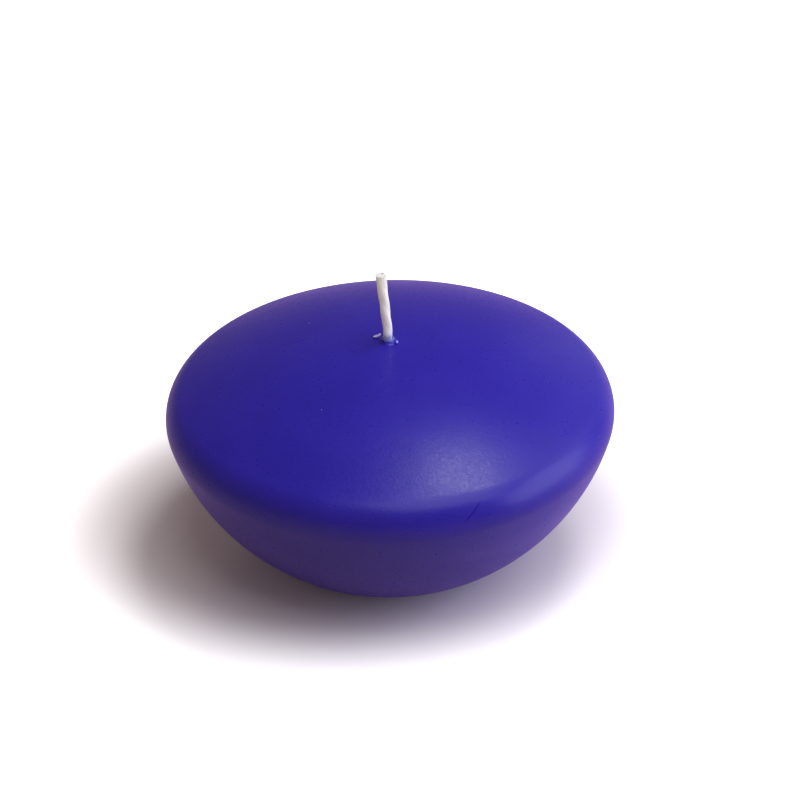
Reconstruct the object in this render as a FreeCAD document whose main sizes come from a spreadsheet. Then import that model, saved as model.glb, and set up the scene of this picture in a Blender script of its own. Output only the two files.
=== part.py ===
import FreeCAD, Part
import math
import os
import Sketcher

# A floating candle: a cast wax body, a plaited cotton wick that runs up through it, and the stamped
# metal sustainer that is crimped round the wick's foot and seated in the base.
# Millimetres. Z is up and the origin is the middle of the base that the candle stands on.

SIZES = (
    ("candle_diameter", 76.0, "wax across its widest circle"),
    ("widest_height", 27.2, "widest circle above the base"),
    ("dome_rise", 12.9, "top of the wax above the widest circle"),
    ("shoulder_radius", 5.5, "rounding between the dome and the bowl"),
    ("base_diameter", 31.4, "flat of the base"),
    ("base_edge_radius", 1.2, "rounding from the flat of the base into the bowl"),
    ("wick_diameter", 1.7, "plaited wick, taken as round"),
    ("wick_gap", 0.05, "between the wick and its bore, each side"),
    ("wick_rise", 12.7, "tip of the wick above the top of the wax"),
    ("wick_lean", 5.0, "lean of the wick's free end, degrees"),
    ("wick_bend_radius", 30.0, "bend from upright into the lean"),
    ("collar_sweep_radius", 0.8, "hollow sweep of the wax that has climbed the wick"),
    ("collar_edge", 0.1, "thickness of the upper edge that it ends in"),
    ("tab_diameter", 16.0, "sustainer's disc"),
    ("tab_thickness", 0.3, "sheet of the sustainer"),
    ("tab_recess", 0.5, "underside of the disc above the base"),
    ("flare_radius", 0.8, "flare from the disc into the neck"),
    ("neck_height", 5.0, "neck above the disc's upper face"),
    ("crimp_height", 3.2, "middle of the crimp above the disc's upper face"),
    ("crimp_depth", 0.2, "crimp into the wick"),
    ("crimp_radius", 0.7, "crimp's groove in section"),
    ("seat_gap", 0.05, "between the sustainer and the wax"),
)

doc = FreeCAD.newDocument("floating_candle")
sheet = doc.addObject("Spreadsheet::Sheet", "Sizes")
for row, (alias, value, meaning) in enumerate(SIZES, start=1):
    sheet.set("A%d" % row, meaning)
    sheet.set("B%d" % row, str(value))
    sheet.setAlias("B%d" % row, alias)
doc.recompute()


def size(formula):
    """Value of a formula in the sheet's sizes, such as Sizes.candle_diameter / 2."""
    return float(sheet.evalExpression(formula))


# Heights and radii that several pieces share, as formulas in the sheet's sizes
TOP = "(Sizes.widest_height + Sizes.dome_rise)"
SHOULDER_X = "(Sizes.candle_diameter / 2 - Sizes.shoulder_radius)"
DOME_RADIUS = (
    "((%s ^ 2 + Sizes.dome_rise ^ 2 - Sizes.shoulder_radius ^ 2)" % SHOULDER_X
    + " / (2 * (Sizes.dome_rise - Sizes.shoulder_radius)))"
)
BEND_Z = "(%s + Sizes.collar_sweep_radius)" % TOP
BORE_RADIUS = "(Sizes.wick_diameter / 2 + Sizes.wick_gap)"
COLLAR_RADIUS = "(%s + Sizes.collar_edge)" % BORE_RADIUS
NECK_RADIUS = "(%s + Sizes.tab_thickness)" % BORE_RADIUS
DISC_TOP = "(Sizes.tab_recess + Sizes.tab_thickness)"
NECK_TOP = "(%s + Sizes.neck_height)" % DISC_TOP
FLARE_X = "(%s + Sizes.flare_radius)" % NECK_RADIUS
FLARE_Z = "(%s + Sizes.flare_radius)" % DISC_TOP
CRIMP_X = "(%s - Sizes.crimp_depth + Sizes.crimp_radius)" % NECK_RADIUS
CRIMP_Z = "(%s + Sizes.crimp_height)" % DISC_TOP
CRIMP_INSIDE = "(Sizes.crimp_radius + Sizes.tab_thickness)"

# Numbers that a sketch uses for the places on an element and for its own origin
START, END, CENTRE = range(1, 4)
ORIGIN = (-1, 1)


def new_body(name):
    """Body of a sub-part, whose label names its file."""
    body = doc.addObject("PartDesign::Body", name)
    body.Label = name
    return body


def new_sketch(body, name, role, height=None):
    """Sketch on one of the body's own origin planes, lifted off it by a formula if one is given."""
    sketch = body.newObject("Sketcher::SketchObject", name)
    plane = [f for f in body.Origin.OriginFeatures if f.Role == role][0]
    sketch.AttachmentSupport = [(plane, "")]
    sketch.MapMode = "FlatFace"
    if height:
        sketch.setExpression("AttachmentOffset.Base.z", height)
    return sketch


def line(sketch, start, end):
    """Line in a sketch, between two points (x, y)."""
    points = (FreeCAD.Vector(*start, 0), FreeCAD.Vector(*end, 0))
    return sketch.addGeometry(Part.LineSegment(*points), False)


def arc(sketch, centre, radius, first, last):
    """Arc in a sketch, anticlockwise from angle first to angle last, in radians."""
    circle = Part.Circle(centre, FreeCAD.Vector(0, 0, 1), radius)
    return sketch.addGeometry(Part.ArcOfCircle(circle, first, last), False)


def bearing(start, end):
    """Angle of the way from one point to another, in radians."""
    return math.atan2(end.y - start.y, end.x - start.x)


def join(sketch, *ends):
    """Each pair of ends (element, place) in turn becomes one corner."""
    for (first, place), (second, other) in zip(ends[0::2], ends[1::2]):
        sketch.addConstraint(Sketcher.Constraint("Coincident", first, place, second, other))


def smooth(sketch, *ends):
    """Each pair of ends in turn meets with no corner."""
    for (first, place), (second, other) in zip(ends[0::2], ends[1::2]):
        sketch.addConstraint(Sketcher.Constraint("Tangent", first, place, second, other))


def hold(sketch, kind, *elements):
    """Each line is Horizontal or Vertical."""
    for element in elements:
        sketch.addConstraint(Sketcher.Constraint(kind, element))


def level(sketch, kind, *places):
    """Each pair of places in turn is on one Horizontal or Vertical."""
    for (first, place), (second, other) in zip(places[0::2], places[1::2]):
        sketch.addConstraint(Sketcher.Constraint(kind, first, place, second, other))


def dimension(sketch, name, formula, kind, *places):
    """Constraint whose size follows a formula in the sheet."""
    value = size(formula)
    if kind == "Angle":
        value = math.radians(value)
    index = sketch.addConstraint(Sketcher.Constraint(kind, *places, value))
    sketch.renameConstraint(index, name)
    sketch.setExpression("Constraints." + name, formula)


def locate(sketch, name, element, place, x, y):
    """Place on an element, set out from the sketch's origin by two formulas."""
    dimension(sketch, name + "_x", x, "DistanceX", *ORIGIN, element, place)
    dimension(sketch, name + "_y", y, "DistanceY", *ORIGIN, element, place)


def quarter_turn(sketch, element):
    """An arc runs from level with its centre to straight below it."""
    level(sketch, "Horizontal", (element, START), (element, CENTRE))
    level(sketch, "Vertical", (element, END), (element, CENTRE))


def revolved(body, kind, name, sketch):
    """Revolution or Groove of a sketch, a full turn about the candle's axis."""
    feature = body.newObject("PartDesign::" + kind, name)
    feature.Profile = sketch
    feature.ReferenceAxis = (sketch, ["V_Axis"])
    feature.Angle = 360
    doc.recompute()
    return feature


def disc(body, name, radius, height=None):
    """Sketch of a circle about the candle's axis."""
    sketch = new_sketch(body, name, "XY_Plane", height)
    up = FreeCAD.Vector(0, 0, 1)
    sketch.addGeometry(Part.Circle(FreeCAD.Vector(), up, size(radius)), False)
    join(sketch, (0, CENTRE), ORIGIN)
    dimension(sketch, "radius", radius, "Radius", 0)
    return sketch


def check_cut(before, after):
    """A cut has to leave less than there was."""
    if not after.Shape.Volume < before.Shape.Volume:
        raise RuntimeError(after.Label + " cuts nothing")


def centre_on_axis(low, high):
    """Centre of the circle through two points whose centre is on the candle's axis."""
    rise = (high.Length**2 - low.Length**2) / (2 * (high.y - low.y))
    return FreeCAD.Vector(0, rise, 0)


def wax_profile(body):
    """Half section of the wax: flat base, round bowl, rounded shoulder, shallow dome and collar."""
    parts = ("shoulder", "base_edge", "collar_sweep")
    shoulder, edge, sweep = (size("Sizes.%s_radius" % part) for part in parts)
    dome, collar, flat = size(DOME_RADIUS), size(COLLAR_RADIUS), size("Sizes.base_diameter / 2")

    edge_at = FreeCAD.Vector(flat, edge, 0)
    shoulder_at = FreeCAD.Vector(size(SHOULDER_X), size("Sizes.widest_height"), 0)
    bowl_at = centre_on_axis(edge_at, shoulder_at)
    bowl = (shoulder_at - bowl_at).Length + shoulder
    dome_at = FreeCAD.Vector(0, size(TOP) - dome, 0)
    sweep_x = collar + sweep
    sweep_at = FreeCAD.Vector(sweep_x, dome_at.y + math.sqrt((dome + sweep) ** 2 - sweep_x**2), 0)
    bowl_low, bowl_high = bearing(bowl_at, edge_at), bearing(bowl_at, shoulder_at)
    dome_low, dome_high = bearing(dome_at, shoulder_at), bearing(dome_at, sweep_at)
    down, left = -math.pi / 2, math.pi

    sketch = new_sketch(body, "wax_profile", "XZ_Plane")
    base = line(sketch, (0, 0), (flat, 0))
    edge_arc = arc(sketch, edge_at, edge, down, bowl_low)
    bowl_arc = arc(sketch, bowl_at, bowl, bowl_low, bowl_high)
    shoulder_arc = arc(sketch, shoulder_at, shoulder, bowl_high, dome_low)
    dome_arc = arc(sketch, dome_at, dome, dome_low, dome_high)
    sweep_arc = arc(sketch, sweep_at, sweep, left, left + dome_high)
    end = line(sketch, (collar, sweep_at.y), (0, sweep_at.y))
    axis = line(sketch, (0, sweep_at.y), (0, 0))

    join(sketch, (base, START), ORIGIN, (sweep_arc, START), (end, START))
    join(sketch, (end, END), (axis, START), (axis, END), ORIGIN)
    smooth(sketch, (base, END), (edge_arc, START), (edge_arc, END), (bowl_arc, START))
    smooth(sketch, (bowl_arc, END), (shoulder_arc, START), (shoulder_arc, END), (dome_arc, START))
    smooth(sketch, (dome_arc, END), (sweep_arc, END))
    hold(sketch, "Horizontal", base, end)
    hold(sketch, "Vertical", axis)
    level(sketch, "Vertical", ORIGIN, (bowl_arc, CENTRE), ORIGIN, (dome_arc, CENTRE))
    level(sketch, "Horizontal", (sweep_arc, START), (sweep_arc, CENTRE))
    dimension(sketch, "flat", "Sizes.base_diameter / 2", "DistanceX", base, START, base, END)
    dimension(sketch, "edge", "Sizes.base_edge_radius", "Radius", edge_arc)
    dimension(sketch, "shoulder", "Sizes.shoulder_radius", "Radius", shoulder_arc)
    locate(sketch, "widest", shoulder_arc, CENTRE, SHOULDER_X, "Sizes.widest_height")
    dimension(sketch, "dome", DOME_RADIUS, "Radius", dome_arc)
    dimension(sketch, "sweep", "Sizes.collar_sweep_radius", "Radius", sweep_arc)
    dimension(sketch, "collar", COLLAR_RADIUS, "DistanceX", *ORIGIN, end, START)
    return sketch


def sustainer_seat_profile(body):
    """Half section of the hollow in the base that takes the sustainer, with its gap all round."""
    edge = "Sizes.tab_diameter / 2 + Sizes.seat_gap"
    ceiling = "%s + Sizes.seat_gap" % DISC_TOP
    top = "%s + Sizes.seat_gap" % NECK_TOP
    neck = "%s + Sizes.seat_gap" % NECK_RADIUS
    x_edge, x_flare, x_neck = size(edge), size(FLARE_X), size(neck)
    z_ceiling, z_flare, z_top = size(ceiling), size(FLARE_Z), size(top)

    sketch = new_sketch(body, "sustainer_seat_profile", "XZ_Plane")
    mouth = line(sketch, (0, 0), (x_edge, 0))
    side = line(sketch, (x_edge, 0), (x_edge, z_ceiling))
    roof = line(sketch, (x_edge, z_ceiling), (x_flare, z_ceiling))
    slope = line(sketch, (x_flare, z_ceiling), (x_neck, z_flare))
    wall = line(sketch, (x_neck, z_flare), (x_neck, z_top))
    end = line(sketch, (x_neck, z_top), (0, z_top))
    axis = line(sketch, (0, z_top), (0, 0))

    join(sketch, (mouth, START), ORIGIN, (mouth, END), (side, START), (side, END), (roof, START))
    join(sketch, (roof, END), (slope, START), (slope, END), (wall, START))
    join(sketch, (wall, END), (end, START), (end, END), (axis, START))
    join(sketch, (axis, END), ORIGIN)
    hold(sketch, "Horizontal", mouth, roof, end)
    hold(sketch, "Vertical", side, wall, axis)
    locate(sketch, "edge", side, END, edge, ceiling)
    dimension(sketch, "slope", FLARE_X, "DistanceX", *ORIGIN, slope, START)
    locate(sketch, "neck", wall, START, neck, FLARE_Z)
    dimension(sketch, "top", top, "DistanceY", *ORIGIN, wall, END)
    return sketch


def make_wax_body():
    """The cast wax: one turned form, with the sustainer's seat and the wick's bore cut in it."""
    body = new_body("wax_body")
    form = revolved(body, "Revolution", "wax_form", wax_profile(body))
    seat = revolved(body, "Groove", "sustainer_seat", sustainer_seat_profile(body))
    check_cut(form, seat)
    bore = body.newObject("PartDesign::Pocket", "wick_bore")
    bore.Profile = disc(body, "wick_bore_profile", BORE_RADIUS)
    bore.Type = "ThroughAll"
    bore.Reversed = True
    doc.recompute()
    check_cut(seat, bore)
    return body


def make_wick_sustainer():
    """The sustainer: one disc drawn up into a flared neck, with a crimp rolled round the neck."""
    body = new_body("wick_sustainer")
    edge = "Sizes.tab_diameter / 2"
    x_edge, x_bore, x_neck = size(edge), size(BORE_RADIUS), size(NECK_RADIUS)
    x_flare, z_flare = size(FLARE_X), size(FLARE_Z)
    x_crimp, z_crimp = size(CRIMP_X), size(CRIMP_Z)
    z_low, z_disc, z_top = size("Sizes.tab_recess"), size(DISC_TOP), size(NECK_TOP)
    outer, inner = size("Sizes.crimp_radius"), size(CRIMP_INSIDE)
    outer_turn = math.acos((x_crimp - x_neck) / outer)
    inner_turn = math.acos((x_crimp - x_bore) / inner)
    outer_half, inner_half = outer * math.sin(outer_turn), inner * math.sin(inner_turn)
    flare_radius, sheet_thickness = size("Sizes.flare_radius"), size("Sizes.tab_thickness")
    under_radius = flare_radius + sheet_thickness
    flare_at, crimp_at = FreeCAD.Vector(x_flare, z_flare, 0), FreeCAD.Vector(x_crimp, z_crimp, 0)
    left, down = math.pi, 1.5 * math.pi

    sketch = new_sketch(body, "sustainer_profile", "XZ_Plane")
    rim = line(sketch, (x_edge, z_low), (x_edge, z_disc))
    upper = line(sketch, (x_edge, z_disc), (x_flare, z_disc))
    flare = arc(sketch, flare_at, flare_radius, left, down)
    outside_low = line(sketch, (x_neck, z_flare), (x_neck, z_crimp - outer_half))
    outside_crimp = arc(sketch, crimp_at, outer, left - outer_turn, left + outer_turn)
    outside_high = line(sketch, (x_neck, z_crimp + outer_half), (x_neck, z_top))
    lip = line(sketch, (x_neck, z_top), (x_bore, z_top))
    inside_high = line(sketch, (x_bore, z_top), (x_bore, z_crimp + inner_half))
    inside_crimp = arc(sketch, crimp_at, inner, left - inner_turn, left + inner_turn)
    inside_low = line(sketch, (x_bore, z_crimp - inner_half), (x_bore, z_flare))
    under_flare = arc(sketch, flare_at, under_radius, left, down)
    under = line(sketch, (x_flare, z_low), (x_edge, z_low))

    join(sketch, (rim, END), (upper, START), (upper, END), (flare, END))
    join(sketch, (flare, START), (outside_low, START))
    join(sketch, (outside_low, END), (outside_crimp, END))
    join(sketch, (outside_crimp, START), (outside_high, START))
    join(sketch, (outside_high, END), (lip, START), (lip, END), (inside_high, START))
    join(sketch, (inside_high, END), (inside_crimp, START))
    join(sketch, (inside_crimp, END), (inside_low, START))
    join(sketch, (inside_low, END), (under_flare, START))
    join(sketch, (under_flare, END), (under, START), (under, END), (rim, START))
    join(sketch, (flare, CENTRE), (under_flare, CENTRE))
    join(sketch, (outside_crimp, CENTRE), (inside_crimp, CENTRE))
    hold(sketch, "Horizontal", upper, lip, under)
    hold(sketch, "Vertical", rim, outside_low, outside_high, inside_high, inside_low)
    quarter_turn(sketch, flare)
    quarter_turn(sketch, under_flare)
    locate(sketch, "flare", flare, CENTRE, FLARE_X, FLARE_Z)
    locate(sketch, "crimp", outside_crimp, CENTRE, CRIMP_X, CRIMP_Z)
    dimension(sketch, "crimp", "Sizes.crimp_radius", "Radius", outside_crimp)
    dimension(sketch, "crimp_inside", CRIMP_INSIDE, "Radius", inside_crimp)
    locate(sketch, "edge", rim, END, edge, DISC_TOP)
    dimension(sketch, "under", "Sizes.tab_recess", "DistanceY", *ORIGIN, rim, START)
    locate(sketch, "neck", outside_high, END, NECK_RADIUS, NECK_TOP)
    dimension(sketch, "bore", BORE_RADIUS, "DistanceX", *ORIGIN, inside_high, START)
    revolved(body, "Revolution", "sustainer_form", sketch)
    return body


def make_wick():
    """The wick: upright from the disc's underside, then bent into its lean, nipped by the crimp."""
    body = new_body("wick")
    foot, bend_at = size("Sizes.tab_recess"), size(BEND_Z)
    lean, bend = math.radians(size("Sizes.wick_lean")), size("Sizes.wick_bend_radius")
    tip = size(TOP + " + Sizes.wick_rise")
    bend_end = (bend * (math.cos(lean) - 1), bend_at + bend * math.sin(lean))
    tip_x = bend_end[0] - (tip - bend_end[1]) * math.tan(lean)

    path = new_sketch(body, "wick_path", "XZ_Plane")
    upright = line(path, (0, foot), (0, bend_at))
    curve = arc(path, FreeCAD.Vector(-bend, bend_at, 0), bend, 0, lean)
    leaning = line(path, bend_end, (tip_x, tip))
    join(path, (upright, END), (curve, START))
    smooth(path, (curve, END), (leaning, START))
    hold(path, "Vertical", upright)
    level(path, "Vertical", ORIGIN, (upright, START))
    level(path, "Horizontal", (curve, START), (curve, CENTRE))
    dimension(path, "foot", "Sizes.tab_recess", "DistanceY", *ORIGIN, upright, START)
    dimension(path, "bend_at", BEND_Z, "DistanceY", *ORIGIN, upright, END)
    dimension(path, "bend", "Sizes.wick_bend_radius", "Radius", curve)
    dimension(path, "tip", TOP + " + Sizes.wick_rise", "DistanceY", *ORIGIN, leaning, END)
    dimension(path, "lean", "Sizes.wick_lean", "Angle", upright, START, leaning, START)

    form = body.newObject("PartDesign::AdditivePipe", "wick_form")
    form.Profile = disc(body, "wick_section", "Sizes.wick_diameter / 2", "Sizes.tab_recess")
    form.Spine = (path, [])
    doc.recompute()

    nip = new_sketch(body, "crimp_waist_profile", "XZ_Plane")
    nip_radius = CRIMP_INSIDE + " + Sizes.wick_gap"
    middle = FreeCAD.Vector(size(CRIMP_X), size(CRIMP_Z), 0)
    ring = nip.addGeometry(Part.Circle(middle, FreeCAD.Vector(0, 0, 1), size(nip_radius)), False)
    locate(nip, "crimp", ring, CENTRE, CRIMP_X, CRIMP_Z)
    dimension(nip, "nip", nip_radius, "Radius", ring)
    waist = revolved(body, "Groove", "crimp_waist", nip)
    check_cut(form, waist)
    return body


def write_pieces(bodies):
    """One STEP file for each sub-part, once nothing in the document has failed."""
    doc.recompute()
    failed = [thing.Label for thing in doc.Objects if {"Invalid", "Error"} & set(thing.State)]
    failed += [body.Label for body in bodies if body.Shape.isNull() or not body.Shape.isValid()]
    if failed:
        raise RuntimeError("failed: " + ", ".join(failed))
    os.makedirs("parts", exist_ok=True)
    for body in bodies:
        body.Shape.exportStep("parts/%s.step" % body.Label)
        print(body.Label, round(body.Shape.Volume, 2), "mm3")


write_pieces([make_wax_body(), make_wick_sustainer(), make_wick()])
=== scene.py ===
import math

import bpy
import bmesh
from mathutils import Euler, Matrix, Vector


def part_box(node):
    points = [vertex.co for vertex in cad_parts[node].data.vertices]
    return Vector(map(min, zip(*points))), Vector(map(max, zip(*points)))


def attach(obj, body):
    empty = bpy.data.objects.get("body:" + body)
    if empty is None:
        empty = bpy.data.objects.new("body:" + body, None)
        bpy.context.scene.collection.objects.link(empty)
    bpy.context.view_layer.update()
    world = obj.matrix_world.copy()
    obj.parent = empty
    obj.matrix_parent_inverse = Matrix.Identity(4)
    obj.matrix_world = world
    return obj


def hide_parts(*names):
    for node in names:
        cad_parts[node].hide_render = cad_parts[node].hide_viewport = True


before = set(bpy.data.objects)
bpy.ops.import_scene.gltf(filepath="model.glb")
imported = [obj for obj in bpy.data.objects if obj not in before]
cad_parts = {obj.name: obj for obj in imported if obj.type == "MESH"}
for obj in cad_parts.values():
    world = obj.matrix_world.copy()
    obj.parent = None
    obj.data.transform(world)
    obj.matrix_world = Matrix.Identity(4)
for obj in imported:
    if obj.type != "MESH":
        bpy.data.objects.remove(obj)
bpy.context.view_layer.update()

MM = 0.001

# Wax, as in the frame: shallow dome, rounded shoulder, round bowl, flat base and a collar at the wick
WAX_LOW, WAX_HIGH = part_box("wax_body")
RADIUS = (WAX_HIGH[0] - WAX_LOW[0]) / 2
COLLAR_TOP = WAX_HIGH[2]
WIDEST = 27.2 * MM
DOME_RISE = 12.9 * MM
SHOULDER = 5.5 * MM
BASE_FLAT = 15.7 * MM
BASE_EDGE = 1.2 * MM
COLLAR_EDGE = 1.0 * MM
COLLAR_SWEEP = 0.8 * MM
BORE = 0.9 * MM
DOME_TOP = WIDEST + DOME_RISE
DOME = ((RADIUS - SHOULDER) ** 2 + DOME_RISE**2 - SHOULDER**2) / (2 * (DOME_RISE - SHOULDER))
DOME_CENTRE = DOME_TOP - DOME

# Fineness of the wax's mesh: steps along each part of the section, segments round it, sharpest blend
COLLAR_STEPS, DOME_STEPS, SHOULDER_STEPS, BOWL_STEPS, EDGE_STEPS = 7, 40, 18, 24, 5
BASE_STEPS, SEAT_STEPS, BORE_STEPS = 6, 4, 12
SEGMENTS = 128
WAX_CREASE = math.radians(35)

# Seat of the sustainer in the base
SEAT_RIM = 8.05 * MM
SEAT_CEILING = 0.85 * MM
SEAT_NECK = 1.25 * MM
SEAT_SLOPE = 2.0 * MM
SEAT_SLOPE_TOP = 1.6 * MM
SEAT_TOP = 5.85 * MM

# Shoulder at the front: pressed in a little on the left, then a hairline crack, then a low swelling
SWELLING_AZIMUTHS = (295, 300, 305)
SWELLING_TILT = 74
SWELLING_HEIGHT = 0.14 * MM
PRESSED_AZIMUTHS = (262, 270, 278, 285)
PRESSED_TILT = 60
PRESSED_DEPTH = 0.09 * MM
UNEVEN_REACH = 6.0 * MM
CRACK_UPPER = Vector((13.7, -34.0, 30.8)) * MM
CRACK_LOWER = Vector((11.2, -36.2, 28.4)) * MM
CRACK_WIDTH = 0.20 * MM
CRACK_DEPTH = 0.16 * MM
CRACK_BEND = math.radians(26)

# Wick: a plait of three strands in wax, upright at first and leaning to the left above the collar
WICK_LOW, WICK_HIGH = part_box("wick")
WICK_FOOT = WICK_LOW[2]
WICK_TIP = 52.68 * MM
WICK_BEND_FROM = 40.9 * MM
WICK_BEND = 30.0 * MM
WICK_LEAN = math.radians(5.0)
PLAIT_WIDTH = 1.62 * MM
PLAIT_THICKNESS = 1.50 * MM
PLAIT_WIDENING = 0.16
STRAND = 1.28 * MM
PLAIT_PITCH = 13.0 * MM
CUT_SPARE = 0.6 * MM
CRIMP_HEIGHT = 4.0 * MM
CRIMP_REACH = 0.7 * MM
CRIMP_SQUEEZE = 0.26
STRAND_STEPS = 300
WICK_VOXEL = 0.1 * MM
WICK_SMOOTHING = 8
WICK_CREASE = math.radians(40)

# Loose flakes of wax: place (mm), length, width and thickness (mm), turn and bend (degrees)
PALE_FLAKE = ((-1.78, 1.25, 40.35), (1.5, 0.6, 0.45), 22, 70)
BLUE_FLAKE = ((1.45, -0.75, 40.3), (0.48, 0.8, 0.5), 15, 0)
FLAKE_ROUGHNESS = 0.03 * MM

# Specks of dust: place and width (mm)
DUST = (
    ((-13.3, 9.5, 38.4), 0.22), ((-11.0, -16.8, 37.6), 0.20), ((12.0, -30.0, 33.4), 0.24),
    ((-33.2, -8.2, 31.7), 0.18), ((34.9, -3.0, 31.9), 0.22), ((5.5, -24.3, 36.1), 0.18),
    ((34.0, -15.3, 29.9), 0.20),
)

# Colours, the darker and the lighter where there are two
WAX_TINTS = ((0.0170, 0.0095, 0.296), (0.0200, 0.0120, 0.322))
COLLAR_TINT = (0.20, 0.25, 0.58)
COTTON_TINTS = ((0.87, 0.94, 0.84), (0.93, 0.98, 0.95))
FOOT_COTTON = (0.30, 0.34, 0.62)
TINPLATE_TINTS = ((0.52, 0.52, 0.50), (0.68, 0.68, 0.66))
PALE_SCRAP = ((0.44, 0.40, 0.90), (0.60, 0.56, 0.97))
BLUE_SCRAP = ((0.18, 0.21, 0.75), (0.26, 0.30, 0.92))
DUST_SCRAP = ((0.12, 0.11, 0.50), (0.25, 0.23, 0.68))

# Photograph's camera, from the fit of the silhouette
CAMERA_RISE = math.radians(32.6)
CAMERA_ROLL = math.radians(-1.6)
CAMERA_DISTANCE = 380.0 * MM
CAMERA_LENS = 100.7
SENSOR = 36.0
IMAGE = 800
WIDEST_PIXEL = (389.9, 406.2)

# Studio lights: azimuth, height and width as seen from the candle (degrees), share of the light, tint
WHITE = (1.0, 1.0, 1.0)
DAYLIGHT = (0.74, 0.73, 1.0)
WARM = (1.0, 0.76, 0.70)
LIGHTS = {
    "window": (350, 18, 50, 0.86, DAYLIGHT),
    "ceiling": (308, 67, 45, 0.44, WHITE),
    "lamp": (32, 72, 15, 0.26, WHITE),
    "window_upper": (18, 42, 36, 0.135, WHITE),
    "wall": (52, 14, 40, 0.04, WHITE),
}
LIGHT_DISTANCE = 1.2

# Table: size, drop below the base, gloss, colour as seen, colour in the wax's shine (a painted pinkish
# reflection tint) and in the light thrown back on the wax (yellowish, a painted shade that keeps the bowl's
# blue dark);
# middle, stretch and soft edge of the ring outside which a painted white glow on the table fades out the
# shadow
TABLE_SIZE = 8.0
TABLE_ROUGHNESS = 0.25
TABLE_DROP = 0.02 * MM
TABLE_SEEN = (0.80, 0.77, 0.80)
TABLE_SHINE = (0.65, 0.44, 0.87)
TABLE_THROWN = (0.92, 0.82, 0.22)
SHADOW_MIDDLE = (-6.0 * MM, 6.0 * MM, 0)
SHADOW_STRETCH = (1.25, 1, 1)
SHADOW_EDGE = (30 * MM, 54 * MM)
ROOM_LIGHT = 0.27


# Small helpers

def start(add, **settings):
    """Nothing selected, then one primitive added, which is returned."""
    if bpy.context.object and bpy.context.object.mode != "OBJECT":
        bpy.ops.object.mode_set(mode="OBJECT")
    bpy.ops.object.select_all(action="DESELECT")
    add(**settings)
    return bpy.context.object


def only(piece):
    """Select one object alone and make it active."""
    bpy.ops.object.select_all(action="DESELECT")
    piece.select_set(True)
    bpy.context.view_layer.objects.active = piece


def finish_piece(piece, name, node=None):
    """Name the piece, put its place into its mesh, and let it ride on the candle."""
    only(piece)
    bpy.ops.object.transform_apply(location=True, rotation=True, scale=True)
    piece.name = name
    piece.data.name = name
    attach(piece, "root")
    if node:
        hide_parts(node)
    return piece


def add_modifier(piece, kind, **settings):
    """One modifier, set and applied."""
    bpy.context.view_layer.objects.active = piece
    modifier = piece.modifiers.new(kind.title(), kind)
    for name, value in settings.items():
        setattr(modifier, name, value)
    bpy.ops.object.modifier_apply(modifier=modifier.name)


def arc(centre, radius, first, last, steps):
    """Points (radius from the axis, height) along an arc, both ends in it."""
    points = []
    for step in range(steps + 1):
        angle = first + (last - first) * step / steps
        points.append((centre[0] + radius * math.cos(angle), centre[1] + radius * math.sin(angle)))
    return points


def straight(start_point, end_point, steps):
    """Points between two points, without its ends."""
    points = []
    for step in range(1, steps):
        part = step / steps
        points.append(tuple(a + (b - a) * part for a, b in zip(start_point, end_point)))
    return points


# Wax

def bowl_arc():
    """Centre height and radius of the bowl, a ball that touches the shoulder and the base's edge."""
    shoulder_x, thinner = RADIUS - SHOULDER, SHOULDER - BASE_EDGE
    rise = WIDEST - BASE_EDGE
    squares = BASE_FLAT**2 - shoulder_x**2 - rise**2 + thinner**2
    low, high = WIDEST, WIDEST * 2
    for halving in range(60):
        centre = (low + high) / 2
        reach = (squares + 2 * rise * (centre - BASE_EDGE)) / (2 * thinner)
        short = math.hypot(BASE_FLAT, centre - BASE_EDGE) > reach
        low, high = (centre, high) if short else (low, centre)
    return centre, reach + BASE_EDGE


def wax_section():
    """The wax's section as (radius, height), from the bore's mouth out, down, under and up again."""
    bowl_z, bowl = bowl_arc()
    bowl_high = math.atan2(WIDEST - bowl_z, RADIUS - SHOULDER)
    bowl_low = math.atan2(BASE_EDGE - bowl_z, BASE_FLAT)
    dome_low = math.atan2(WIDEST - DOME_CENTRE, RADIUS - SHOULDER)
    sweep_x = COLLAR_EDGE + COLLAR_SWEEP
    sweep_z = DOME_CENTRE + math.sqrt((DOME + COLLAR_SWEEP) ** 2 - sweep_x**2)
    dome_high = math.atan2(sweep_z - DOME_CENTRE, sweep_x)
    mouth = 0.05 * MM

    section = [(BORE, COLLAR_TOP - mouth), (COLLAR_EDGE - mouth, COLLAR_TOP)]
    section += arc((sweep_x, sweep_z), COLLAR_SWEEP, math.pi, math.pi + dome_high, COLLAR_STEPS)
    section += arc((0, DOME_CENTRE), DOME, dome_high, dome_low, DOME_STEPS)[1:]
    section += arc((RADIUS - SHOULDER, WIDEST), SHOULDER, dome_low, bowl_high, SHOULDER_STEPS)[1:]
    section += arc((0, bowl_z), bowl, bowl_high, bowl_low, BOWL_STEPS)[1:]
    section += arc((BASE_FLAT, BASE_EDGE), BASE_EDGE, bowl_low, -math.pi / 2, EDGE_STEPS)[1:]
    section += straight((BASE_FLAT, 0), (SEAT_RIM, 0), BASE_STEPS)
    section += [(SEAT_RIM + mouth, 0), (SEAT_RIM, mouth)]
    section += [(SEAT_RIM, SEAT_CEILING - mouth), (SEAT_RIM - mouth, SEAT_CEILING)]
    section += straight((SEAT_RIM, SEAT_CEILING), (SEAT_SLOPE, SEAT_CEILING), SEAT_STEPS)
    section += [(SEAT_SLOPE, SEAT_CEILING), (SEAT_NECK, SEAT_SLOPE_TOP)]
    section += [(SEAT_NECK, SEAT_TOP - mouth), (SEAT_NECK - mouth, SEAT_TOP)]
    section += [(BORE + mouth, SEAT_TOP), (BORE, SEAT_TOP + mouth)]
    section += straight((BORE, SEAT_TOP), (BORE, COLLAR_TOP), BORE_STEPS)
    return section


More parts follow.
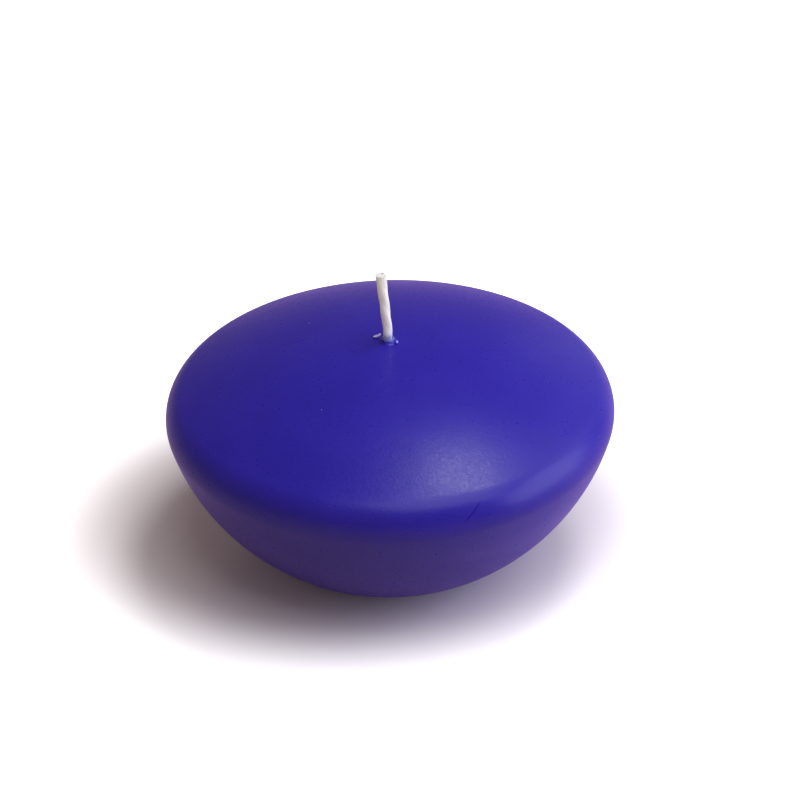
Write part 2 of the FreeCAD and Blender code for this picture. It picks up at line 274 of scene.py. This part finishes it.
def walk_ring(section):
    """Extrude the selected ring of edges from each point of the section to the next."""
    for (radius, height), (next_radius, next_height) in zip(section, section[1:]):
        rise = (0, 0, next_height - height)
        bpy.ops.mesh.extrude_region_move(TRANSFORM_OT_translate={"value": rise})
        grow = next_radius / radius
        bpy.ops.transform.resize(value=(grow, grow, 1), center_override=(0, 0, next_height))


def turned(section, segments):
    """A closed turned form: one ring of edges, walked round the whole section and welded."""
    radius, height = section[0]
    piece = start(bpy.ops.mesh.primitive_circle_add, vertices=segments, radius=radius,
                  location=(0, 0, height), fill_type="NOTHING")
    bpy.ops.object.mode_set(mode="EDIT")
    bpy.ops.mesh.select_all(action="SELECT")
    walk_ring(section + section[:1])
    bpy.ops.mesh.select_all(action="SELECT")
    bpy.ops.mesh.remove_doubles(threshold=0.002 * MM)
    bpy.ops.mesh.normals_make_consistent(inside=False)
    bpy.ops.object.mode_set(mode="OBJECT")
    bpy.ops.object.transform_apply(location=True, rotation=False, scale=False)
    return piece


def on_shoulder(azimuth, tilt):
    """Place and outward direction on the shoulder, from an azimuth and a tilt off the vertical."""
    turn, lean = math.radians(azimuth), math.radians(tilt)
    out = Vector((math.cos(turn) * math.sin(lean), math.sin(turn) * math.sin(lean), math.cos(lean)))
    across = RADIUS - SHOULDER
    centre = Vector((math.cos(turn) * across, math.sin(turn) * across, WIDEST))
    return centre + out * SHOULDER, out


def push(piece, place, move, reach):
    """Push the wax at a place, fading out smoothly within a reach."""
    only(piece)
    bpy.ops.object.mode_set(mode="EDIT")
    mesh = bmesh.from_edit_mesh(piece.data)
    nearest = min(mesh.verts, key=lambda vertex: (vertex.co - place).length)
    for vertex in mesh.verts:
        vertex.select_set(vertex is nearest)
    mesh.select_flush_mode()
    bmesh.update_edit_mesh(piece.data)
    bpy.ops.transform.translate(value=move, use_proportional_edit=True,
                                proportional_edit_falloff="SMOOTH", proportional_size=reach)
    bpy.ops.object.mode_set(mode="OBJECT")


def make_shoulder_uneven(piece):
    """The pressed part of the shoulder and the low swelling on the other side of the crack."""
    for azimuth in PRESSED_AZIMUTHS:
        place, out = on_shoulder(azimuth, PRESSED_TILT)
        push(piece, place, out * -PRESSED_DEPTH, UNEVEN_REACH)
    for azimuth in SWELLING_AZIMUTHS:
        place, out = on_shoulder(azimuth, SWELLING_TILT)
        push(piece, place, out * SWELLING_HEIGHT, UNEVEN_REACH)


def cut_crack(piece):
    """A hairline crack down the shoulder: a thin bent lens, taken out of the wax."""
    along = CRACK_LOWER - CRACK_UPPER
    middle = (CRACK_UPPER + CRACK_LOWER) / 2
    azimuth = math.degrees(math.atan2(middle.y, middle.x))
    across = math.hypot(middle.x, middle.y) - (RADIUS - SHOULDER)
    tilt = math.degrees(math.atan2(across, middle.z - WIDEST))
    place, out = on_shoulder(azimuth, tilt)
    ahead = (along - out * along.dot(out)).normalized()
    blade = start(bpy.ops.mesh.primitive_uv_sphere_add, segments=24, ring_count=12, radius=1)
    blade.scale = (along.length / 2, CRACK_DEPTH, CRACK_WIDTH / 2)
    bpy.ops.object.transform_apply(location=False, rotation=False, scale=True)
    add_modifier(blade, "SIMPLE_DEFORM", deform_method="BEND", deform_axis="Z", angle=-CRACK_BEND)
    turn = Matrix((ahead, out, ahead.cross(out))).transposed()
    blade.rotation_euler = turn.to_euler()
    blade.location = place
    bpy.ops.object.transform_apply(location=True, rotation=True, scale=True)
    only(piece)
    add_modifier(piece, "BOOLEAN", operation="DIFFERENCE", object=blade, solver="EXACT")
    bpy.data.objects.remove(blade)


def make_wax():
    """The cast wax: turned, cracked at its shoulder at the front right, and uneven on both sides there."""
    piece = turned(wax_section(), SEGMENTS)
    add_modifier(piece, "SUBSURF", levels=1, render_levels=1)
    cut_crack(piece)
    make_shoulder_uneven(piece)
    only(piece)
    bpy.ops.object.shade_smooth_by_angle(angle=WAX_CREASE)
    return finish_piece(piece, "wax_casting", "wax_body")


# Wick

def wick_point(height, across, through):
    """Place in the wick: height along it from the foot, across to the right, through to the back."""
    z = WICK_FOOT + height
    if z <= WICK_BEND_FROM:
        return Vector((across, through, z))
    turn = min((z - WICK_BEND_FROM) / WICK_BEND, WICK_LEAN)
    bend_x, bend_z = WICK_BEND * (math.cos(turn) - 1), WICK_BEND * math.sin(turn)
    middle = Vector((bend_x, 0, WICK_BEND_FROM + bend_z))
    rest = z - WICK_BEND_FROM - turn * WICK_BEND
    way = Vector((-math.sin(turn), 0, math.cos(turn)))
    side = Vector((math.cos(turn), 0, math.sin(turn)))
    return middle + way * rest + side * across + Vector((0, through, 0))


def plait_size(height):
    """Size of the plait at a height: nipped in the sustainer's crimp, wider towards the cut end."""
    nip = (WICK_FOOT + height - CRIMP_HEIGHT) / CRIMP_REACH
    free = max(0, WICK_FOOT + height - WICK_BEND_FROM) / (WICK_TIP - WICK_BEND_FROM)
    return 1 - CRIMP_SQUEEZE * math.exp(-(nip**2)) + PLAIT_WIDENING * free


def add_strand(number, length, steps):
    """One strand of the plait as a tube that weaves from side to side and over and under."""
    curve = bpy.data.curves.new("strand", "CURVE")
    curve.dimensions = "3D"
    curve.bevel_depth = STRAND / 2
    curve.bevel_resolution = 3
    curve.use_fill_caps = True
    spline = curve.splines.new("POLY")
    spline.points.add(steps)
    sway = (PLAIT_WIDTH - STRAND) / 2
    lift = (PLAIT_THICKNESS - STRAND) / 2
    for step, point in enumerate(spline.points):
        height = length * step / steps
        phase = 2 * math.pi * (height / PLAIT_PITCH + number / 3)
        size = plait_size(height)
        across = sway * size * math.sin(phase)
        through = lift * size * math.sin(2 * phase)
        point.co = (*wick_point(height, across, through), 1)
        point.radius = size
    strand = bpy.data.objects.new("strand", curve)
    bpy.context.collection.objects.link(strand)
    return strand


def cut_off(piece, length):
    """Cut the wick square at its length."""
    only(piece)
    bpy.ops.object.mode_set(mode="EDIT")
    bpy.ops.mesh.select_all(action="SELECT")
    way = Vector((-math.sin(WICK_LEAN), 0, math.cos(WICK_LEAN)))
    bpy.ops.mesh.bisect(plane_co=wick_point(length, 0, 0), plane_no=way,
                        use_fill=True, clear_outer=True)
    bpy.ops.object.mode_set(mode="OBJECT")


def make_wick():
    """Three plaited strands, run together by the wax that they are dipped in."""
    bend_top = WICK_BEND_FROM + WICK_BEND * math.sin(WICK_LEAN)
    leaning_part = (WICK_TIP - bend_top) / math.cos(WICK_LEAN)
    length = WICK_BEND_FROM - WICK_FOOT + WICK_BEND * WICK_LEAN + leaning_part
    bpy.ops.object.select_all(action="DESELECT")
    strands = [add_strand(number, length + CUT_SPARE, STRAND_STEPS) for number in range(3)]
    for one in strands:
        one.select_set(True)
    bpy.context.view_layer.objects.active = strands[0]
    bpy.ops.object.convert(target="MESH")
    bpy.ops.object.join()
    piece = bpy.context.object
    add_modifier(piece, "REMESH", mode="VOXEL", voxel_size=WICK_VOXEL)
    add_modifier(piece, "SMOOTH", factor=0.5, iterations=WICK_SMOOTHING)
    cut_off(piece, length)
    only(piece)
    bpy.ops.object.shade_smooth_by_angle(angle=WICK_CREASE)
    return finish_piece(piece, "plaited_wick", "wick")


# Flakes of wax

def rough_flake(place, size, turn, bend, seed):
    """One small uneven flake, made on its edge, bent up at its ends and laid flat."""
    piece = start(bpy.ops.mesh.primitive_ico_sphere_add, subdivisions=3, radius=0.5 * MM,
                  location=Vector(place) * MM, rotation=(math.pi / 2, math.radians(-turn), 0))
    length, width, thickness = size
    piece.scale = (length, thickness, width)
    bpy.ops.object.transform_apply(location=False, rotation=False, scale=True)
    bpy.ops.object.mode_set(mode="EDIT")
    bpy.ops.mesh.select_all(action="SELECT")
    bpy.ops.transform.vertex_random(offset=FLAKE_ROUGHNESS, seed=seed)
    bpy.ops.object.mode_set(mode="OBJECT")
    if bend:
        add_modifier(piece, "SIMPLE_DEFORM", deform_method="BEND", deform_axis="Z",
                     angle=math.radians(bend))
    bpy.ops.object.shade_smooth()
    return piece


def make_flakes():
    """Two flakes beside the wick and a little dust on the dome."""
    pale = finish_piece(rough_flake(*PALE_FLAKE, 3), "pale_flake")
    blue = finish_piece(rough_flake(*BLUE_FLAKE, 8), "blue_flake")
    specks = [rough_flake(place, (size, size, size * 0.6), 0, 0, 20 + number)
              for number, (place, size) in enumerate(DUST)]
    only(specks[0])
    for speck in specks:
        speck.select_set(True)
    bpy.ops.object.join()
    return pale, blue, finish_piece(bpy.context.object, "dust")


# Materials

def make_mottle():
    """Node group: uneven value inside the candle's own space, with the size of its patches in mm."""
    group = bpy.data.node_groups.new("Mottle", "ShaderNodeTree")
    for name, kind in (("Patch", "Float"), ("Detail", "Float"), ("Stretch", "Vector"),
                       ("Low", "Float"), ("High", "Float")):
        group.interface.new_socket(name=name, in_out="INPUT", socket_type="NodeSocket" + kind)
    group.interface.new_socket(name="Value", in_out="OUTPUT", socket_type="NodeSocketFloat")
    inside = group.nodes.new("NodeGroupInput")
    outside = group.nodes.new("NodeGroupOutput")
    place = group.nodes.new("ShaderNodeTexCoord")
    stretch = group.nodes.new("ShaderNodeVectorMath")
    stretch.operation = "DIVIDE"
    scale = group.nodes.new("ShaderNodeMath")
    scale.operation = "DIVIDE"
    scale.inputs[0].default_value = 1 / MM
    noise = group.nodes.new("ShaderNodeTexNoise")
    spread = group.nodes.new("ShaderNodeMapRange")
    spread.inputs["From Min"].default_value = 0.3
    spread.inputs["From Max"].default_value = 0.7
    spread.clamp = False
    group.links.new(place.outputs["Object"], stretch.inputs[0])
    group.links.new(inside.outputs["Stretch"], stretch.inputs[1])
    group.links.new(inside.outputs["Patch"], scale.inputs[1])
    group.links.new(stretch.outputs["Vector"], noise.inputs["Vector"])
    group.links.new(scale.outputs["Value"], noise.inputs["Scale"])
    group.links.new(inside.outputs["Detail"], noise.inputs["Detail"])
    group.links.new(noise.outputs["Fac"], spread.inputs["Value"])
    group.links.new(inside.outputs["Low"], spread.inputs["To Min"])
    group.links.new(inside.outputs["High"], spread.inputs["To Max"])
    group.links.new(spread.outputs["Result"], outside.inputs["Value"])
    return group


MOTTLE = make_mottle()


def new_material(name):
    """A new node material, its node tree and its Principled shader."""
    material = bpy.data.materials.new(name)
    material.use_nodes = True
    tree = material.node_tree
    return material, tree, tree.nodes["Principled BSDF"]


def mottle(tree, patch, detail=2.0, low=0.0, high=1.0, stretch=(1, 1, 1)):
    """Uneven value, with patches of about a size in mm."""
    node = tree.nodes.new("ShaderNodeGroup")
    node.node_tree = MOTTLE
    for name, value in (("Patch", patch), ("Detail", detail), ("Stretch", stretch),
                        ("Low", low), ("High", high)):
        node.inputs[name].default_value = value
    return node.outputs["Value"]


def blend(tree, amount, first, second):
    """Mix two colours, each given as numbers or as a socket."""
    node = tree.nodes.new("ShaderNodeMix")
    node.data_type = "RGBA"
    tree.links.new(amount, node.inputs["Factor"])
    for socket, colour in ((node.inputs["A"], first), (node.inputs["B"], second)):
        if isinstance(colour, tuple):
            socket.default_value = (*colour, 1)
        else:
            tree.links.new(colour, socket)
    return node.outputs["Result"]


def bump(tree, height, distance, below=None):
    """Bump from a height of 0 to 1 over a distance, on top of another bump if one is given."""
    node = tree.nodes.new("ShaderNodeBump")
    node.inputs["Distance"].default_value = distance
    tree.links.new(height, node.inputs["Height"])
    if below:
        tree.links.new(below, node.inputs["Normal"])
    return node.outputs["Normal"]


def band(tree, value, first, last):
    """Zero up to a first value and one from a last value on, smooth between."""
    node = tree.nodes.new("ShaderNodeMapRange")
    node.interpolation_type = "SMOOTHSTEP"
    node.inputs["From Min"].default_value = first
    node.inputs["From Max"].default_value = last
    tree.links.new(value, node.inputs["Value"])
    return node.outputs["Result"]


def height_in_piece(tree):
    """Height above the base."""
    place = tree.nodes.new("ShaderNodeTexCoord")
    parts = tree.nodes.new("ShaderNodeSeparateXYZ")
    tree.links.new(place.outputs["Object"], parts.inputs["Vector"])
    return parts.outputs["Z"]


def from_axis(tree):
    """Distance from the candle's axis."""
    place = tree.nodes.new("ShaderNodeTexCoord")
    flat = tree.nodes.new("ShaderNodeVectorMath")
    flat.operation = "MULTIPLY"
    flat.inputs[1].default_value = (1, 1, 0)
    length = tree.nodes.new("ShaderNodeVectorMath")
    length.operation = "LENGTH"
    tree.links.new(place.outputs["Object"], flat.inputs[0])
    tree.links.new(flat.outputs["Vector"], length.inputs[0])
    return length.outputs["Value"]


def combine(tree, operation, first, second):
    """Two values joined by a sum, product or the like."""
    node = tree.nodes.new("ShaderNodeMath")
    node.operation = operation
    tree.links.new(first, node.inputs[0])
    tree.links.new(second, node.inputs[1])
    return node.outputs["Value"]


def wax_material():
    """Blue-violet wax: satin, faintly clouded, with a fine grain, and paler where it climbs the wick."""
    material, tree, shader = new_material("violet_wax")
    tint = blend(tree, mottle(tree, 9.0, 3.0), *WAX_TINTS)
    away = combine(tree, "ADD", from_axis(tree), mottle(tree, 0.6, 2.0, -0.00005, 0.00005))
    low = band(tree, away, 0.98 * MM, 1.08 * MM)
    tint = blend(tree, low, COLLAR_TINT, tint)
    tree.links.new(tint, shader.inputs["Base Color"])
    tree.links.new(mottle(tree, 0.5, 3.0, 0.27, 0.37), shader.inputs["Roughness"])
    swell = bump(tree, mottle(tree, 9.0, 2.0), 0.03 * MM)
    grain = bump(tree, mottle(tree, 0.45, 3.0), 0.010 * MM, swell)
    tree.links.new(grain, shader.inputs["Normal"])
    shader.inputs["Specular IOR Level"].default_value = 0.27
    shader.inputs["Subsurface Weight"].default_value = 0.15
    shader.inputs["Subsurface Radius"].default_value = (0.3, 0.2, 1.0)
    shader.inputs["Subsurface Scale"].default_value = 2.0 * MM
    return material


def wick_material():
    """White cotton in wax, blue at its foot up to a little above the wax."""
    material, tree, shader = new_material("waxed_cotton")
    cream = blend(tree, mottle(tree, 0.5, 3.0, stretch=(1, 1, 5)), *COTTON_TINTS)
    up = combine(tree, "ADD", height_in_piece(tree), mottle(tree, 0.8, 2.0, -0.0004, 0.0004))
    above_foot = band(tree, up, 40.9 * MM, 42.2 * MM)
    tree.links.new(blend(tree, above_foot, FOOT_COTTON, cream), shader.inputs["Base Color"])
    tree.links.new(mottle(tree, 0.4, 3.0, 0.40, 0.60), shader.inputs["Roughness"])
    fibre = mottle(tree, 0.16, 3.0, stretch=(1, 1, 6))
    tree.links.new(bump(tree, fibre, 0.03 * MM), shader.inputs["Normal"])
    shader.inputs["Sheen Weight"].default_value = 1.0
    shader.inputs["Subsurface Weight"].default_value = 0.8
    shader.inputs["Subsurface Radius"].default_value = (1, 1, 1)
    shader.inputs["Subsurface Scale"].default_value = 1.0 * MM
    return material


def flake_material(name, darker, lighter):
    """Scraped wax, paler than the cast body."""
    material, tree, shader = new_material(name)
    tree.links.new(blend(tree, mottle(tree, 0.3, 3.0), darker, lighter), shader.inputs["Base Color"])
    tree.links.new(mottle(tree, 0.2, 2.0, 0.45, 0.6), shader.inputs["Roughness"])
    tree.links.new(bump(tree, mottle(tree, 0.15, 2.0), 0.02 * MM), shader.inputs["Normal"])
    return material


def tinplate_material():
    """Dull stamped tinplate."""
    material, tree, shader = new_material("dull_tinplate")
    scuff = mottle(tree, 0.7, 5.0)
    tree.links.new(blend(tree, scuff, *TINPLATE_TINTS), shader.inputs["Base Color"])
    tree.links.new(mottle(tree, 0.5, 4.0, 0.28, 0.48), shader.inputs["Roughness"])
    tree.links.new(bump(tree, scuff, 0.01 * MM), shader.inputs["Normal"])
    shader.inputs["Metallic"].default_value = 1.0
    return material


# Stage, light and camera

def any_ray(tree, *kinds):
    """One for a ray of any of the kinds named, else zero."""
    path = tree.nodes.new("ShaderNodeLightPath")
    total = path.outputs[kinds[0]]
    for kind in kinds[1:]:
        total = combine(tree, "MAXIMUM", total, path.outputs[kind])
    return total


def painted_glow_mask(tree):
    """Mask for the table's painted white glow: zero in the candle's shadow and one well clear of it."""
    place = tree.nodes.new("ShaderNodeTexCoord")
    shift = tree.nodes.new("ShaderNodeVectorMath")
    shift.operation = "SUBTRACT"
    shift.inputs[1].default_value = SHADOW_MIDDLE
    narrow = tree.nodes.new("ShaderNodeVectorMath")
    narrow.operation = "DIVIDE"
    narrow.inputs[1].default_value = SHADOW_STRETCH
    length = tree.nodes.new("ShaderNodeVectorMath")
    length.operation = "LENGTH"
    tree.links.new(place.outputs["Object"], shift.inputs[0])
    tree.links.new(shift.outputs["Vector"], narrow.inputs[0])
    tree.links.new(narrow.outputs["Vector"], length.inputs[0])
    return band(tree, length.outputs["Value"], *SHADOW_EDGE)


def table_material():
    """White table: a painted white glow clear of the candle that fades out its shadow, a painted pink
    reflection tint in the wax's shine, and yellow thrown-back light that paints the bowl's blue darker.
    """
    material, tree, shader = new_material("white_table")
    path = tree.nodes.new("ShaderNodeLightPath")
    # Painted light: the table's colour in the wax's shine is a painted reflection tint, and its colour in
    # thrown-back light is a painted shade on the bowl
    thrown = blend(tree, path.outputs["Is Glossy Ray"], TABLE_THROWN, TABLE_SHINE)
    seen = any_ray(tree, "Is Camera Ray", "Is Transmission Ray")
    tree.links.new(blend(tree, seen, thrown, TABLE_SEEN), shader.inputs["Base Color"])
    shader.inputs["Roughness"].default_value = TABLE_ROUGHNESS
    # Painted glow: the table glows white for the camera clear of the candle, so the outer part of its shadow
    # fades to white at a set edge
    shader.inputs["Emission Color"].default_value = (*WHITE, 1)
    white = combine(tree, "MULTIPLY", painted_glow_mask(tree), path.outputs["Is Camera Ray"])
    tree.links.new(white, shader.inputs["Emission Strength"])
    return material


def make_table():
    """A wide table top at the candle's foot."""
    table = start(bpy.ops.mesh.primitive_plane_add, size=TABLE_SIZE, location=(0, 0, -TABLE_DROP))
    table.name = "table"
    table.data.materials.append(table_material())


def make_world():
    """Dim room light, white where the camera looks past the table."""
    world = bpy.data.worlds.new("room")
    bpy.context.scene.world = world
    world.use_nodes = True
    tree = world.node_tree
    background = tree.nodes["Background"]
    seen = any_ray(tree, "Is Camera Ray", "Is Transmission Ray")
    level = tree.nodes.new("ShaderNodeMapRange")
    level.inputs["To Min"].default_value = ROOM_LIGHT
    tree.links.new(seen, level.inputs["Value"])
    tree.links.new(level.outputs["Result"], background.inputs["Strength"])
    tree.links.new(blend(tree, seen, WARM, WHITE), background.inputs["Color"])


def add_light(name, azimuth, rise, width, share, tint):
    """A round soft light, placed by how it is seen from the candle."""
    turn, lift = math.radians(azimuth), math.radians(rise)
    way = Vector((math.cos(turn) * math.cos(lift), math.sin(turn) * math.cos(lift), math.sin(lift)))
    data = bpy.data.lights.new(name, "AREA")
    data.shape = "DISK"
    data.size = 2 * LIGHT_DISTANCE * math.tan(math.radians(width) / 2)
    data.energy = math.pi**2 * share * LIGHT_DISTANCE**2
    data.color = tint
    lamp = bpy.data.objects.new(name, data)
    lamp.location = Vector((0, 0, WIDEST)) + way * LIGHT_DISTANCE
    lamp.rotation_euler = (-way).to_track_quat("-Z", "Y").to_euler()
    lamp.visible_camera = False
    bpy.context.collection.objects.link(lamp)


def make_camera():
    """Camera of the photograph."""
    data = bpy.data.cameras.new("photograph")
    data.lens = CAMERA_LENS
    data.sensor_width = SENSOR
    data.shift_x = (IMAGE / 2 - WIDEST_PIXEL[0]) / IMAGE
    data.shift_y = (WIDEST_PIXEL[1] - IMAGE / 2) / IMAGE
    camera = bpy.data.objects.new("photograph", data)
    back = Vector((0, -math.cos(CAMERA_RISE), math.sin(CAMERA_RISE)))
    camera.location = Vector((0, 0, WIDEST)) + back * CAMERA_DISTANCE
    upright = Euler((math.pi / 2 - CAMERA_RISE, 0, 0)).to_matrix()
    camera.rotation_euler = (upright @ Matrix.Rotation(CAMERA_ROLL, 3, "Z")).to_euler()
    bpy.context.collection.objects.link(camera)
    bpy.context.scene.camera = camera


make_camera()
make_table()
make_world()
for light, settings in LIGHTS.items():
    add_light(light, *settings)
bpy.context.scene.view_settings.view_transform = "Standard"

wax = make_wax()
wax.data.materials.append(wax_material())
wick = make_wick()
wick.data.materials.append(wick_material())
pale_flake, blue_flake, dust = make_flakes()
pale_flake.data.materials.append(flake_material("pale_scrap", *PALE_SCRAP))
blue_flake.data.materials.append(flake_material("blue_scrap", *BLUE_SCRAP))
dust.data.materials.append(flake_material("dust_specks", *DUST_SCRAP))
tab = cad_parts["wick_sustainer"]
tab.data.materials.clear()
tab.data.materials.append(tinplate_material())
